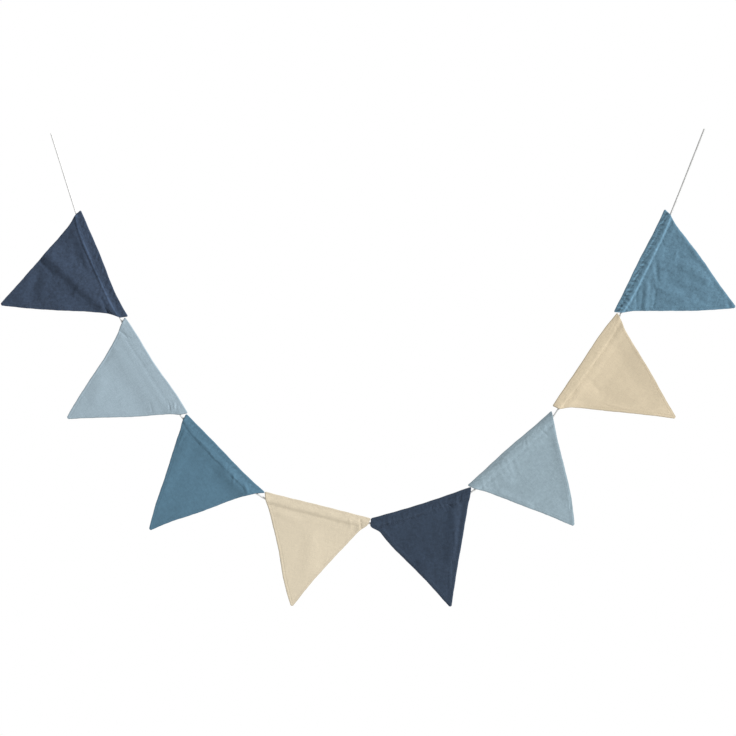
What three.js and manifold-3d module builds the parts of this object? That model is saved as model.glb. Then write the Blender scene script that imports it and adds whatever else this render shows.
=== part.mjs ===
// Bunting: eight triangular cotton pennants threaded on one cotton cord, hanging in a curve.
// Millimetres, +Z up, +X to the right along the string. The front of the cloth faces -Y.
// The origin is the left end of the cord, where it is tied or pinned up.

import * as THREE from 'three';
import { mergeVertices } from 'three/addons/utils/BufferGeometryUtils.js';
import Module from 'manifold-3d';

const wasm = await Module();
wasm.setup();

// Cloth, half thicknesses measured from the middle of the sheet
const BLADE_HALF = 0.95;
const EDGE_HALF = 0.6;
const HEM_EXTRA = 0.3;
const HEM_WIDTH = 7;
const FOLD_HALF = 0.55;
const PRESSED_HALF = 1.15;
const STITCH_HALF = 1.35;
const SEAM_HALF = 1.1;

// Cord and the sewn channel that it runs through
const CORD_RADIUS = 1.5;
const CORD_SIDES = 8;
const CORD_STEPS = 80;
const CORD_SAMPLES = 320;
const TUNNEL_HALF_HEIGHT = 1.9;
const TUNNEL_HALF_WIDTH = 3.3;
const TUNNEL_SIDES = 12;
const TUNNEL_WALL = 0.95;
const RIDGE_REACH = 6;
const RIDGE_SHARE = 0.95;
const MOUTH_RADIUS = 4.3;
const MOUTH_INNER_RADIUS = 2.8;
const MOUTH_LENGTH = 18;
const MOUTH_FLATNESS = 0.62;
const MOUTH_EXTRA = 0.9;
const MOUTH_REACH = 14;

// How far past a pennant's sides, above its fold and below it the cord counts as its own
const CORD_PAST = 15;
const CORD_ABOVE = 5;
const CORD_BELOW = 40;

// Where the soft folds begin below the fold, over what distance they grow, and the tip's swing
const RELIEF_FROM = 5;
const RELIEF_RISE = 14;
const TIP_SWING = 1.4;

// Outline
const EAR_AT = 11;
const EAR_REACH = 8;
const CORNER_REACH = 11;
const CORNER_ROUND = 1.2;
const TIP_ROUND = 2.6;
const TIP_OVERSHOOT = 3;
const MERGE_DISTANCE = 1e-4;

// Grid of each pennant: columns as shares of its width, channel rows as shares up to the cord line
const COLUMNS = [0, 0.045, 0.11, 0.21, 0.33, 0.45, 0.56, 0.67, 0.79, 0.89, 0.955, 1];
const ROWS_ABOVE_CORD = [0, 0.1, 0.45, 0.78, 1];
const ROW_BELOW_CORD = 0.55;
const STRIP_END = 2.2;
const BLADE_ROWS = 14;
const TIP_ROWS = [5, 1.3, 0.25];

const CLOTHS = {
  navy: { color: '#3c4a60', roughness: 0.92 },
  light_blue: { color: '#9bacb9', roughness: 0.92 },
  mid_blue: { color: '#5f8097', roughness: 0.92 },
  cream: { color: '#d9ceb4', roughness: 0.92 },
  cord: { color: '#e6e2da', roughness: 0.95 },
};

// x, z: the left end of the fold. tilt: the fold's angle. width: along the fold. drop: fold to tip.
// tip: how far along the fold the tip hangs. channel: fold to stitch line.
// fold, left and right: how the three edges leave their straight lines, in one wave (bow), two (sway)
// and three (curl), inward at the fold and outward at the sides. ear: how far the side stands out at the
// channel's mouth. corner: how far it stands out at the fold.
// billow: the middle's swell to the front. tipLift: the tip's swing to the front. twist: right edge forward.
const PENNANTS = [
  {
    name: 'pennant_1_navy', cloth: 'navy',
    x: 44.4, z: -116, tilt: -66.1, width: 172.3, drop: 165.9, tip: 80.2, channel: 18,
    fold: { bow: 2, sway: -1.4, curl: 0.6 },
    left: { bow: -1.9, sway: -0.2, curl: -0.2, ear: 2.2, corner: 0.3 },
    right: { bow: -0.4, sway: -1.4, curl: -0.2, ear: 4.2, corner: 0.6 },
    billow: 3.5, tipLift: 2.5, twist: 2,
  },
  {
    name: 'pennant_2_light_blue', cloth: 'light_blue',
    x: 111.6, z: -277.5, tilt: -56.85, width: 168.4, drop: 154.5, tip: 77.4, channel: 16,
    fold: { bow: 0.4, sway: 0.4, curl: -0.8 },
    left: { bow: -2.6, sway: -1.5, curl: 0, ear: 2, corner: 1.3 },
    right: { bow: 1.5, sway: 0.5, curl: -0.4, ear: 2.4, corner: 1 },
    billow: 2, tipLift: 1.5, twist: -1.5,
  },
  {
    name: 'pennant_3_mid_blue', cloth: 'mid_blue',
    x: 203.7, z: -422.2, tilt: -44.95, width: 163.2, drop: 161, tip: 81.9, channel: 18.2,
    fold: { bow: 1.2, sway: -0.7, curl: 0.2 },
    left: { bow: 2.8, sway: 0.4, curl: 0.9, ear: 2.2, corner: 1.2 },
    right: { bow: -4, sway: -0.9, curl: -1.3, ear: -0.3, corner: 1.6 },
    billow: 2.5, tipLift: -1, twist: 1.5,
  },
  {
    name: 'pennant_4_cream', cloth: 'cream',
    x: 321.5, z: -538, tilt: -14.15, width: 161.5, drop: 155.9, tip: 79.7, channel: 16,
    fold: { bow: -0.2, sway: 0.1, curl: 0.1 },
    left: { bow: 0.4, sway: -0.9, curl: 1, ear: 2.2, corner: 0.6 },
    right: { bow: -2.3, sway: 0.9, curl: 0, ear: 4, corner: 0.4 },
    billow: 2, tipLift: -2.5, twist: -1,
  },
  {
    name: 'pennant_5_navy', cloth: 'navy',
    x: 480.9, z: -577.4, tilt: 17.53, width: 155, drop: 161.6, tip: 72.8, channel: 16.4,
    fold: { bow: 2, sway: 0, curl: 0 },
    left: { bow: 3.5, sway: 2.5, curl: 0.6, ear: 7.5, corner: 0.2 },
    right: { bow: -0.2, sway: 0.6, curl: 0, ear: 1.4, corner: 0.8 },
    billow: 2.5, tipLift: -2, twist: 1.5,
  },
  {
    name: 'pennant_6_light_blue', cloth: 'light_blue',
    x: 625.7, z: -527.2, tilt: 41.6, width: 166.5, drop: 149.9, tip: 78, channel: 16,
    fold: { bow: -0.7, sway: -0.2, curl: 0.4 },
    left: { bow: -1.4, sway: 0.3, curl: -0.3, ear: 2.1, corner: 0.6 },
    right: { bow: 2.5, sway: -1.6, curl: 0.2, ear: 0.2, corner: 0.3 },
    billow: 2, tipLift: 1, twist: 1,
  },
  {
    name: 'pennant_7_cream', cloth: 'cream',
    x: 752.7, z: -408, tilt: 55.2, width: 166.7, drop: 160.3, tip: 89.4, channel: 15.6,
    fold: { bow: -1.8, sway: 0.8, curl: -0.4 },
    left: { bow: -1.2, sway: 0.2, curl: -0.3, ear: 4.5, corner: 0.2 },
    right: { bow: -0.5, sway: -0.4, curl: -0.6, ear: 1.8, corner: 1.8 },
    billow: 2, tipLift: 4.5, twist: 1.5,
  },
  {
    name: 'pennant_8_mid_blue', cloth: 'mid_blue',
    x: 844.7, z: -267, tilt: 63.6, width: 170.1, drop: 159.2, tip: 86.4, channel: 17.6,
    fold: { bow: 0.1, sway: -0.2, curl: 0.4 },
    left: { bow: 1.7, sway: -1, curl: 0, ear: 2.1, corner: 0.4 },
    right: { bow: 0.2, sway: 0.4, curl: -0.6, ear: 2.3, corner: 0.4 },
    billow: 2.5, tipLift: 1, twist: 1.5,
  },
];

// Soft folds in the pennants. pennant: its number. u: along the fold, v: down from it, for both ends.
// height: to the front, or to the back where it is less than nothing. reach: half the fold's breadth on
// the tip's side. lean: how many times broader it is on the other side.
const FOLDS = [
  { pennant: 1, from: { u: 38, v: 73 }, to: { u: 142, v: 27 }, height: 4.6, reach: 15, lean: 1.8 },
  { pennant: 1, from: { u: 98, v: 54 }, to: { u: 130, v: 42 }, height: 1.6, reach: 15, lean: 1 },
  { pennant: 1, from: { u: 60, v: 94 }, to: { u: 88, v: 118 }, height: -1.6, reach: 16, lean: 1 },
  { pennant: 2, from: { u: 30, v: 38 }, to: { u: 130, v: 36 }, height: 1.1, reach: 26, lean: 1 },
  { pennant: 2, from: { u: 62, v: 84 }, to: { u: 76, v: 104 }, height: 0.7, reach: 16, lean: 1 },
  { pennant: 3, from: { u: 106, v: 18 }, to: { u: 150, v: 18 }, height: 2.5, reach: 26, lean: 1 },
  { pennant: 3, from: { u: 30, v: 35 }, to: { u: 52, v: 100 }, height: 1, reach: 16, lean: 1 },
  { pennant: 4, from: { u: 8, v: 18.5 }, to: { u: 142, v: 19 }, height: -0.8, reach: 10, lean: 1 },
  { pennant: 4, from: { u: 84, v: 48 }, to: { u: 92, v: 96 }, height: 0.6, reach: 20, lean: 1 },
  { pennant: 5, from: { u: 127, v: 20 }, to: { u: 97, v: 92 }, height: 1.4, reach: 8, lean: 2.2 },
  { pennant: 5, from: { u: 52, v: 90 }, to: { u: 84, v: 104 }, height: 0.8, reach: 14, lean: 1 },
  { pennant: 6, from: { u: 28, v: 42 }, to: { u: 46, v: 84 }, height: 0.9, reach: 10, lean: 1 },
  { pennant: 6, from: { u: 158, v: 14 }, to: { u: 100, v: 112 }, height: 0.7, reach: 13, lean: 1 },
  { pennant: 7, from: { u: 160, v: 25 }, to: { u: 112, v: 125 }, height: 1.7, reach: 34, lean: 1 },
  { pennant: 7, from: { u: 76, v: 62 }, to: { u: 86, v: 100 }, height: 0.5, reach: 20, lean: 1 },
  { pennant: 7, from: { u: 44, v: 16 }, to: { u: 44, v: 44 }, height: 0.7, reach: 18, lean: 1 },
  { pennant: 8, from: { u: 108, v: 66 }, to: { u: 104, v: 102 }, height: 1.8, reach: 14, lean: 1 },
  { pennant: 8, from: { u: 72, v: 52 }, to: { u: 78, v: 104 }, height: -1.1, reach: 14, lean: 1 },
];

// The cord from its left end to its right end, through every channel
const CORD_ROUTE = [
  [0, 0, 0], [12.6, 0, -40], [25, 0, -80], [37.2, 0, -119],
  [44, 0, -146.5], [66.2, 0, -200.6], [90.5, 0, -253.9], [103.6, 0, -277],
  [107, 0, -284], [116.5, 0, -306.5], [147.3, 0, -354.7], [179.2, 0, -402.3], [194.4, 0, -423],
  [199, 0, -429.5], [212.7, 0, -450.1], [251.5, 0, -489.8], [291.2, 0, -528.6], [313.6, 0, -543.4],
  [320.6, 0, -547.6], [344, 0, -554.7], [397.3, 0, -568.8], [450.8, 0, -581.6], [472, 0, -584.2],
  [480, 0, -584.6], [507.3, 0, -581.2], [558, 0, -565.9], [608.4, 0, -549.3], [628.6, 0, -539],
  [636, 0, -533.6], [652.9, 0, -517.7], [695.7, 0, -480.6], [737.6, 0, -442.6], [754, 0, -423.4],
  [761.6, 0, -412], [776.6, 0, -392.1], [809.4, 0, -345.9], [841.3, 0, -299], [851.6, 0, -277.6],
  [855, 0, -269.2], [868.3, 0, -248.3], [894.6, 0, -196.8], [919.7, 0, -144.7], [929, 0, -121.6],
  [946, 0, -79], [963, 0, -36], [979.8, 0, 6.8],
];

const cordCurve = new THREE.CatmullRomCurve3(CORD_ROUTE.map((point) => new THREE.Vector3(...point)));

function material(cloth) {
  return new THREE.MeshStandardMaterial({ ...CLOTHS[cloth], metalness: 0, name: cloth });
}

// A closed tube along the cord, with an oval section
function tubeAlongCord(halfWidth, halfHeight, sides) {
  const section = new THREE.Shape();
  for (let side = 0; side < sides; side += 1) {
    const angle = (side / sides) * 2 * Math.PI;
    const x = halfHeight * Math.cos(angle);
    const y = halfWidth * Math.sin(angle);
    if (side === 0) section.moveTo(x, y);
    else section.lineTo(x, y);
  }
  section.closePath();
  const along = { steps: CORD_STEPS, extrudePath: cordCurve, bevelEnabled: false };
  return new THREE.ExtrudeGeometry(section, along);
}

function toSolid(geometry) {
  const bare = geometry.clone();
  bare.deleteAttribute('normal');
  bare.deleteAttribute('uv');
  const merged = mergeVertices(bare, MERGE_DISTANCE);
  const mesh = new wasm.Mesh({
    numProp: 3,
    vertProperties: new Float32Array(merged.attributes.position.array),
    triVerts: new Uint32Array(merged.index.array),
  });
  return new wasm.Manifold(mesh);
}

function toGeometry(solid) {
  const mesh = solid.getMesh();
  const geometry = new THREE.BufferGeometry();
  geometry.setAttribute('position', new THREE.BufferAttribute(new Float32Array(mesh.vertProperties), 3));
  geometry.setIndex(new THREE.BufferAttribute(new Uint32Array(mesh.triVerts), 1));
  geometry.computeVertexNormals();
  return geometry;
}

function placement(pennant) {
  const tilt = THREE.MathUtils.degToRad(-pennant.tilt);
  return new THREE.Matrix4().makeRotationY(tilt).setPosition(pennant.x, 0, pennant.z);
}

// Where the cord lies inside a pennant: its distance below the fold at any place along the fold
function cordLine(pennant) {
  const toPennant = placement(pennant).invert();
  const passed = cordCurve.getSpacedPoints(CORD_SAMPLES).map((point) => point.applyMatrix4(toPennant));
  const beside = (p) => p.x > -CORD_PAST && p.x < pennant.width + CORD_PAST;
  const near = passed.filter((p) => beside(p) && p.z > -CORD_BELOW && p.z < CORD_ABOVE);
  return (u) => {
    const after = near.findIndex((point) => point.x > u);
    if (after <= 0) return -near[after < 0 ? near.length - 1 : 0].z;
    const [a, b] = [near[after - 1], near[after]];
    return -THREE.MathUtils.mapLinear(u, a.x, b.x, a.z, b.z);
  };
}

// How far an edge leaves its straight line at a share of its length
function waves(edge, share) {
  const turn = Math.PI * share;
  return edge.bow * Math.sin(turn) + edge.sway * Math.sin(2 * turn) + edge.curl * Math.sin(3 * turn);
}

// How far a side edge stands outside its straight line, with its corner at the fold rounded
function outward(edge, v, drop) {
  const ear = edge.ear * Math.exp(-(((v - EAR_AT) / EAR_REACH) ** 2));
  const corner = edge.corner * bump(Math.max(v, 0), CORNER_REACH);
  const intoCorner = THREE.MathUtils.clamp(CORNER_ROUND - v, 0, CORNER_ROUND);
  const rounding = CORNER_ROUND - Math.sqrt(CORNER_ROUND ** 2 - intoCorner ** 2);
  return waves(edge, v / drop) + ear + corner - rounding;
}

// The left and right edges at a distance below the fold, rounded together at the tip
function edgesAt(pennant, v) {
  const { width, drop, tip } = pennant;
  const along = v / (drop + TIP_OVERSHOOT);
  const left = tip * along - outward(pennant.left, v, drop);
  const right = width - (width - tip) * along + outward(pennant.right, v, drop);
  const middle = (left + right) / 2;
  const toTip = Math.max(drop - v, 0);
  const round = toTip < TIP_ROUND ? Math.sqrt(TIP_ROUND ** 2 - (TIP_ROUND - toTip) ** 2) : Infinity;
  const half = Math.min((right - left) / 2, round);
  return [middle - half, middle + half];
}

// A smooth bump, 1 in the middle and 0 from its reach on
function bump(distance, reach) {
  const share = Math.min(Math.abs(distance) / reach, 1);
  return Math.cos((share * Math.PI) / 2) ** 2;
}

function foldHeight(fold, u, v) {
  const run = { u: fold.to.u - fold.from.u, v: fold.to.v - fold.from.v };
  const length = Math.hypot(run.u, run.v);
  const along = ((u - fold.from.u) * run.u + (v - fold.from.v) * run.v) / length;
  const across = ((u - fold.from.u) * run.v - (v - fold.from.v) * run.u) / length;
  const beyond = Math.max(-along, along - length, 0);
  const reach = across * Math.sign(run.u) > 0 ? fold.reach * fold.lean : fold.reach;
  return fold.height * bump(Math.hypot(across, beyond), reach);
}

// The middle of the sheet, as its distance to the front
function sheetLift(pennant, number, u, v) {
  const below = THREE.MathUtils.clamp((v - pennant.channel) / (pennant.drop - pennant.channel), 0, 1);
  const across = u / pennant.width - 0.5;
  const swell = pennant.billow * Math.sin(Math.PI * below) * Math.cos(Math.PI * across);
  const twist = pennant.twist * 2 * across * Math.sin(Math.PI * below);
  const folds = FOLDS.filter((fold) => fold.pennant === number).map((fold) => foldHeight(fold, u, v));
  const relief = folds.reduce((sum, height) => sum + height, 0);
  const grown = THREE.MathUtils.smoothstep(v, RELIEF_FROM, RELIEF_FROM + RELIEF_RISE);
  return swell + twist + relief * grown + pennant.tipLift * below ** TIP_SWING;
}

function halfThickness(pennant, line, u, v, toEdge) {
  const fromLine = v - line;
  const atMouth = bump(Math.min(u, pennant.width - u), MOUTH_REACH);
  const ridge = TUNNEL_HALF_HEIGHT + TUNNEL_WALL + MOUTH_EXTRA * atMouth;
  const reach = Math.min(RIDGE_REACH, line * RIDGE_SHARE);
  const base = v < pennant.channel + SEAM_HALF ? PRESSED_HALF : BLADE_HALF;
  const channel = base + (ridge - base) * bump(fromLine, fromLine < 0 ? reach : RIDGE_REACH);
  const hem = HEM_EXTRA * bump(toEdge - HEM_WIDTH / 2, HEM_WIDTH / 2);
  return Math.abs(v - pennant.channel) < SEAM_HALF ? STITCH_HALF : channel + hem;
}

// The rows of the grid at one column, as distances below the straight fold
function rowsAt(pennant, line, share) {
  const sag = waves(pennant.fold, share);
  const above = ROWS_ABOVE_CORD.map((part) => sag + (line - sag) * part);
  const below = line + (pennant.channel - line) * ROW_BELOW_CORD;
  const strip = pennant.channel + STRIP_END;
  const step = (pennant.drop - TIP_ROWS[0] - strip) / BLADE_ROWS;
  const blade = Array.from({ length: BLADE_ROWS }, (_, row) => strip + step * (row + 1));
  const tip = TIP_ROWS.slice(1).map((rest) => pennant.drop - rest);
  return [...above, below, pennant.channel, strip, ...blade, ...tip];
}

// The same distance with the fold's sag taken out
function unsagged(pennant, share, v) {
  const sag = waves(pennant.fold, share);
  return v < pennant.channel ? ((v - sag) * pennant.channel) / (pennant.channel - sag) : v;
}

// The cloth of one pennant as a closed sheet, before its channel is opened
function pennantSheet(pennant, number) {
  const line = cordLine(pennant);
  const columns = COLUMNS.map((share) => {
    const lineHere = line(share * pennant.width);
    return rowsAt(pennant, lineHere, share).map((v, row) => {
      const [left, right] = edgesAt(pennant, unsagged(pennant, share, v));
      const u = left + (right - left) * share;
      const edge = share === 0 || share === 1;
      const inChannel = v < pennant.channel - SEAM_HALF;
      const full = halfThickness(pennant, lineHere, u, v, Math.min(u - left, right - u));
      const half = row === 0 ? FOLD_HALF : edge && !inChannel ? EDGE_HALF : full;
      return { u, v, half, lift: sheetLift(pennant, number, u, v) };
    });
  });
  const rows = columns[0].length;
  const positions = [];
  for (const side of [1, -1]) {
    for (const column of columns) {
      for (const at of column) positions.push(at.u, -(at.lift + side * at.half), -at.v);
    }
  }
  const index = (side, column, row) => (side * columns.length + column) * rows + row;
  const faces = [];
  const quad = (a, b, c, d) => faces.push(a, b, c, a, c, d);
  for (let c = 0; c + 1 < columns.length; c += 1) {
    for (let r = 0; r + 1 < rows; r += 1) {
      quad(index(0, c, r), index(0, c, r + 1), index(0, c + 1, r + 1), index(0, c + 1, r));
      quad(index(1, c, r), index(1, c + 1, r), index(1, c + 1, r + 1), index(1, c, r + 1));
    }
  }
  const lastColumn = columns.length - 1;
  for (let r = 0; r + 1 < rows; r += 1) {
    const atRight = (side, row) => index(side, lastColumn, row);
    quad(index(0, 0, r), index(1, 0, r), index(1, 0, r + 1), index(0, 0, r + 1));
    quad(atRight(0, r), atRight(0, r + 1), atRight(1, r + 1), atRight(1, r));
  }
  for (let c = 0; c < lastColumn; c += 1) {
    quad(index(0, c, 0), index(0, c + 1, 0), index(1, c + 1, 0), index(1, c, 0));
    quad(index(0, c, rows - 1), index(1, c, rows - 1), index(1, c + 1, rows - 1), index(0, c + 1, rows - 1));
  }
  const geometry = new THREE.BufferGeometry();
  geometry.setAttribute('position', new THREE.BufferAttribute(new Float32Array(positions), 3));
  geometry.setIndex(faces);
  return { geometry, line };
}

// The widening of the channel at one of its open ends
function mouthCutter(pennant, line, atLeft) {
  const u = atLeft ? edgesAt(pennant, EAR_AT)[0] : edgesAt(pennant, EAR_AT)[1];
  const inner = atLeft ? u + MOUTH_LENGTH / 2 : u - MOUTH_LENGTH / 2;
  const [from, to] = [new THREE.Vector2(inner, -line(inner)), new THREE.Vector2(u, -line(u))];
  const run = to.clone().sub(from).normalize();
  const cone = new THREE.CylinderGeometry(MOUTH_RADIUS, MOUTH_INNER_RADIUS, MOUTH_LENGTH, TUNNEL_SIDES);
  cone.scale(1, 1, MOUTH_FLATNESS);
  cone.rotateX(Math.PI / 2);
  cone.rotateY(Math.atan2(run.x, run.y));
  cone.translate(to.x, 0, to.y);
  return toSolid(cone);
}

const tunnel = toSolid(tubeAlongCord(TUNNEL_HALF_WIDTH, TUNNEL_HALF_HEIGHT, TUNNEL_SIDES));

function pennantMesh(pennant, number) {
  const { geometry, line } = pennantSheet(pennant, number);
  const toPennant = placement(pennant).invert();
  const cutter = tunnel.transform(toPennant.elements);
  const opened = toSolid(geometry)
    .subtract(cutter)
    .subtract(mouthCutter(pennant, line, true))
    .subtract(mouthCutter(pennant, line, false));
  const mesh = new THREE.Mesh(toGeometry(opened), material(pennant.cloth));
  mesh.name = pennant.name;
  mesh.position.set(pennant.x, 0, pennant.z);
  mesh.rotation.y = THREE.MathUtils.degToRad(-pennant.tilt);
  return mesh;
}

function cordMesh() {
  const mesh = new THREE.Mesh(tubeAlongCord(CORD_RADIUS, CORD_RADIUS, CORD_SIDES), material('cord'));
  mesh.name = 'cord';
  return mesh;
}

const bunting = new THREE.Group();
PENNANTS.forEach((pennant, place) => bunting.add(pennantMesh(pennant, place + 1)));
bunting.add(cordMesh());

export default bunting;
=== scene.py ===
"""The looks of a bunting: eight cotton pennants threaded on one twisted cotton cord.

Each pennant is one finished piece of doubled cotton whose top is folded to the back and sewn down as
a channel. Blender's units are metres; the cloth's own sizes below are in millimetres.
"""

import math
from collections import namedtuple

import bmesh
import bpy
import numpy as np
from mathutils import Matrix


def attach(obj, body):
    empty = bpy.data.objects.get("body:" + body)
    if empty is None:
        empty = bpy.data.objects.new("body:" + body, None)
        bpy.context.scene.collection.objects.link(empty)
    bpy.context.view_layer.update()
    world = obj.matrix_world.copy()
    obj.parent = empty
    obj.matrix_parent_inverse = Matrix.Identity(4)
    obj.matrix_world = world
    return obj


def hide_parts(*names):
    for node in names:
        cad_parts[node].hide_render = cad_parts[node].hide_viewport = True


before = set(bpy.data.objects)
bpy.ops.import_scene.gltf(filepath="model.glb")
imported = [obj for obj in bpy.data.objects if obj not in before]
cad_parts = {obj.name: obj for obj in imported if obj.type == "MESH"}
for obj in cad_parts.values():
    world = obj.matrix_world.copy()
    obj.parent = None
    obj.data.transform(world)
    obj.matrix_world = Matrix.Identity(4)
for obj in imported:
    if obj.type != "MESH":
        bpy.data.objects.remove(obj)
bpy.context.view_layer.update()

MM = 0.001
TINY = 1e-12

# The cloth in millimetres, the same sizes as the part's source
EAR_AT = 11.0
EAR_REACH = 8.0
CORNER_REACH = 11.0
CORNER_ROUND = 1.2
TIP_ROUND = 2.6
TIP_OVERSHOOT = 3.0
TIP_SWING = 1.4
RELIEF_FROM = 5
RELIEF_RISE = 14
CORD_PAST = 15
CORD_ABOVE = 5
CORD_BELOW = 40

# What is too fine for the solids: the doubled cloth, its turned strip and the room around the cord
CLOTH = 1.5
LAYER_GAP = 0.08
FOLD_RADIUS = CLOTH / 2 + LAYER_GAP
STRIP_END = 2.4
STRIP_LOOSE = 0.3
STRIP_INSET = 0.35
CORD_RADIUS = 1.5
CORD_GAP = 0.12
ROOM_SPARE = 0.15
LEAST_RISE = 0.1
CREST_SHARE = 0.92
FOOT_PAST = 1.6
WALL_PAST = 1
MOUTH_GAPE = 0.6
MOUTH_REACH = 12.0
SETTLE = 12.0
SEAT_PAST = 4
SWING_BACK = 32.0

# Hems, seams and the rim of the cloth
HEM_WIDTH = 6.6
HEM_SOFT = 0.8
HEM_START = 3
EDGE_SEAM = 3.8
SEAM_SINK = 0.24
SEAM_HALF = 0.8
GROOVE_HALF = 1.0
GROOVE_FADE = 25
RIM = 0.38
RIM_THIN = 0.72

# Small unevenness. A wave is its height, its length by radian, and how often it takes the phase.
EDGE_WOBBLES = ((0.1, 8.1, 1), (0.11, 3.7, 2.1), (0.07, 1.6, 3.3))
WOBBLE_PHASE = 1.7
OTHER_EDGE_PHASE = 2.3
WOBBLE_FROM = 20
WOBBLE_TO_TIP = 15
MEAN_PULL = 0.75
PULL_WAVES = ((0.35, 7.3, 1), (0.3, 17.9, 0))
FOLD_RIPPLE = 0.12
FOLD_RIPPLES = 41
FOLD_CALM = 4
CREASE_FROM = 1
CREASE_RISE = 5
SEED = 40
PUCKER_PITCH = 4.2
PUCKER_MARGIN = 4
PUCKER_SCATTER = 1.8
PUCKER_HEIGHTS = (0.1, 0.42)
PUCKER_HALVES = (1.0, 2.3)
PUCKER_REACHES = (3, 8)
PUCKER_SLANTS = (-0.8, 0.2)
PUCKER_ABOVE_SEAM = 3
WAVE_COUNT = 14
WAVE_LENGTHS = (9, 40)
WAVE_STEEPNESS = 0.003
WAVE_SPREAD = (0.5, 1.2)
CALM_SHARE = 0.35
CALM_TO = 8
CALM_FADE = 16

# Wear and painted light: where the cloth is rubbed pale, painted highlights and painted shade, and how much
FOLD_RUB = 0.2
FOLD_RUB_OVER = 0.5
# The rim: rubbed paler on the most mottled, darker cloths, and darker by painted shade on the paler ones
RIM_WEAR_AND_SHADE = 0.4
RIM_WEAR_AND_SHADE_OVER = 0.8
EDGE_BAND_WIDTH = 1.6
# The pale band along the cord's ridge: partly rubbed wear, partly a painted highlight
RIDGE_PALE_AT = 1.4
RIDGE_PALE_HALF = 1.9
PATCHINESS = 0.38
PATCH_LENGTHS = (2.1, 3.7)
MARK_COUNT = 12
MARK_LENGTHS = (2.4, 8.0)
MARKS_AT = 5.5
MARKS_HALF = 6.5
# Painted shade along the fold: where it lies and how broad it is
FOLD_SHADE_AT = 2
FOLD_SHADE_HALF = 4.5
# Painted shade along the channel's stitch line
GROOVE_SHADE = 0.4
GROOVE_SHADE_HALF = 1.3
# Painted shade along the edge seams
SEAM_SHADE = 0.05

# Grid of each pennant's cloth
COLUMNS = 120
COLUMN_CROWDING = 1.15
FOLD_ROWS = 9
STRIP_ROWS = 26
CHANNEL_ROWS = 38
BLADE_ROWS = 100
TIP_ROWS = 7
TIP_TURN = math.pi / 2 * 0.93
AREA_ROWS = 400

# Sewing. On a pennant whose channel has no groove, the stitches are pressed in.
STITCH_PITCH = 3.1
STITCH_LENGTH = 2.3
STITCH_SHIFT = 0.5
STITCH_LEAN = 0.22
THREAD_RADIUS = 0.24
THREAD_SIDES = 6
THREAD_HEIGHTS = (-0.3, 0.04, 0.12, 0.04, -0.3)
THREAD_WIDTHS = (0.55, 0.95, 1.0, 0.95, 0.55)
THREAD_PRESSED = 0.16
SEAM_SAMPLES = 240
SEAM_WANDER = 0.25
SEAM_TURNS = 11
SEAM_FROM_EDGE = 1.6
SEAM_BELOW_CHANNEL = 4
SEAM_TO_TIP = 12

Edge = namedtuple("Edge", "bow sway curl ear corner", defaults=(0, 0))
Pennant = namedtuple(
    "Pennant", "number node slot x z tilt width drop tip channel fold left right billow tip_lift twist"
)

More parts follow.
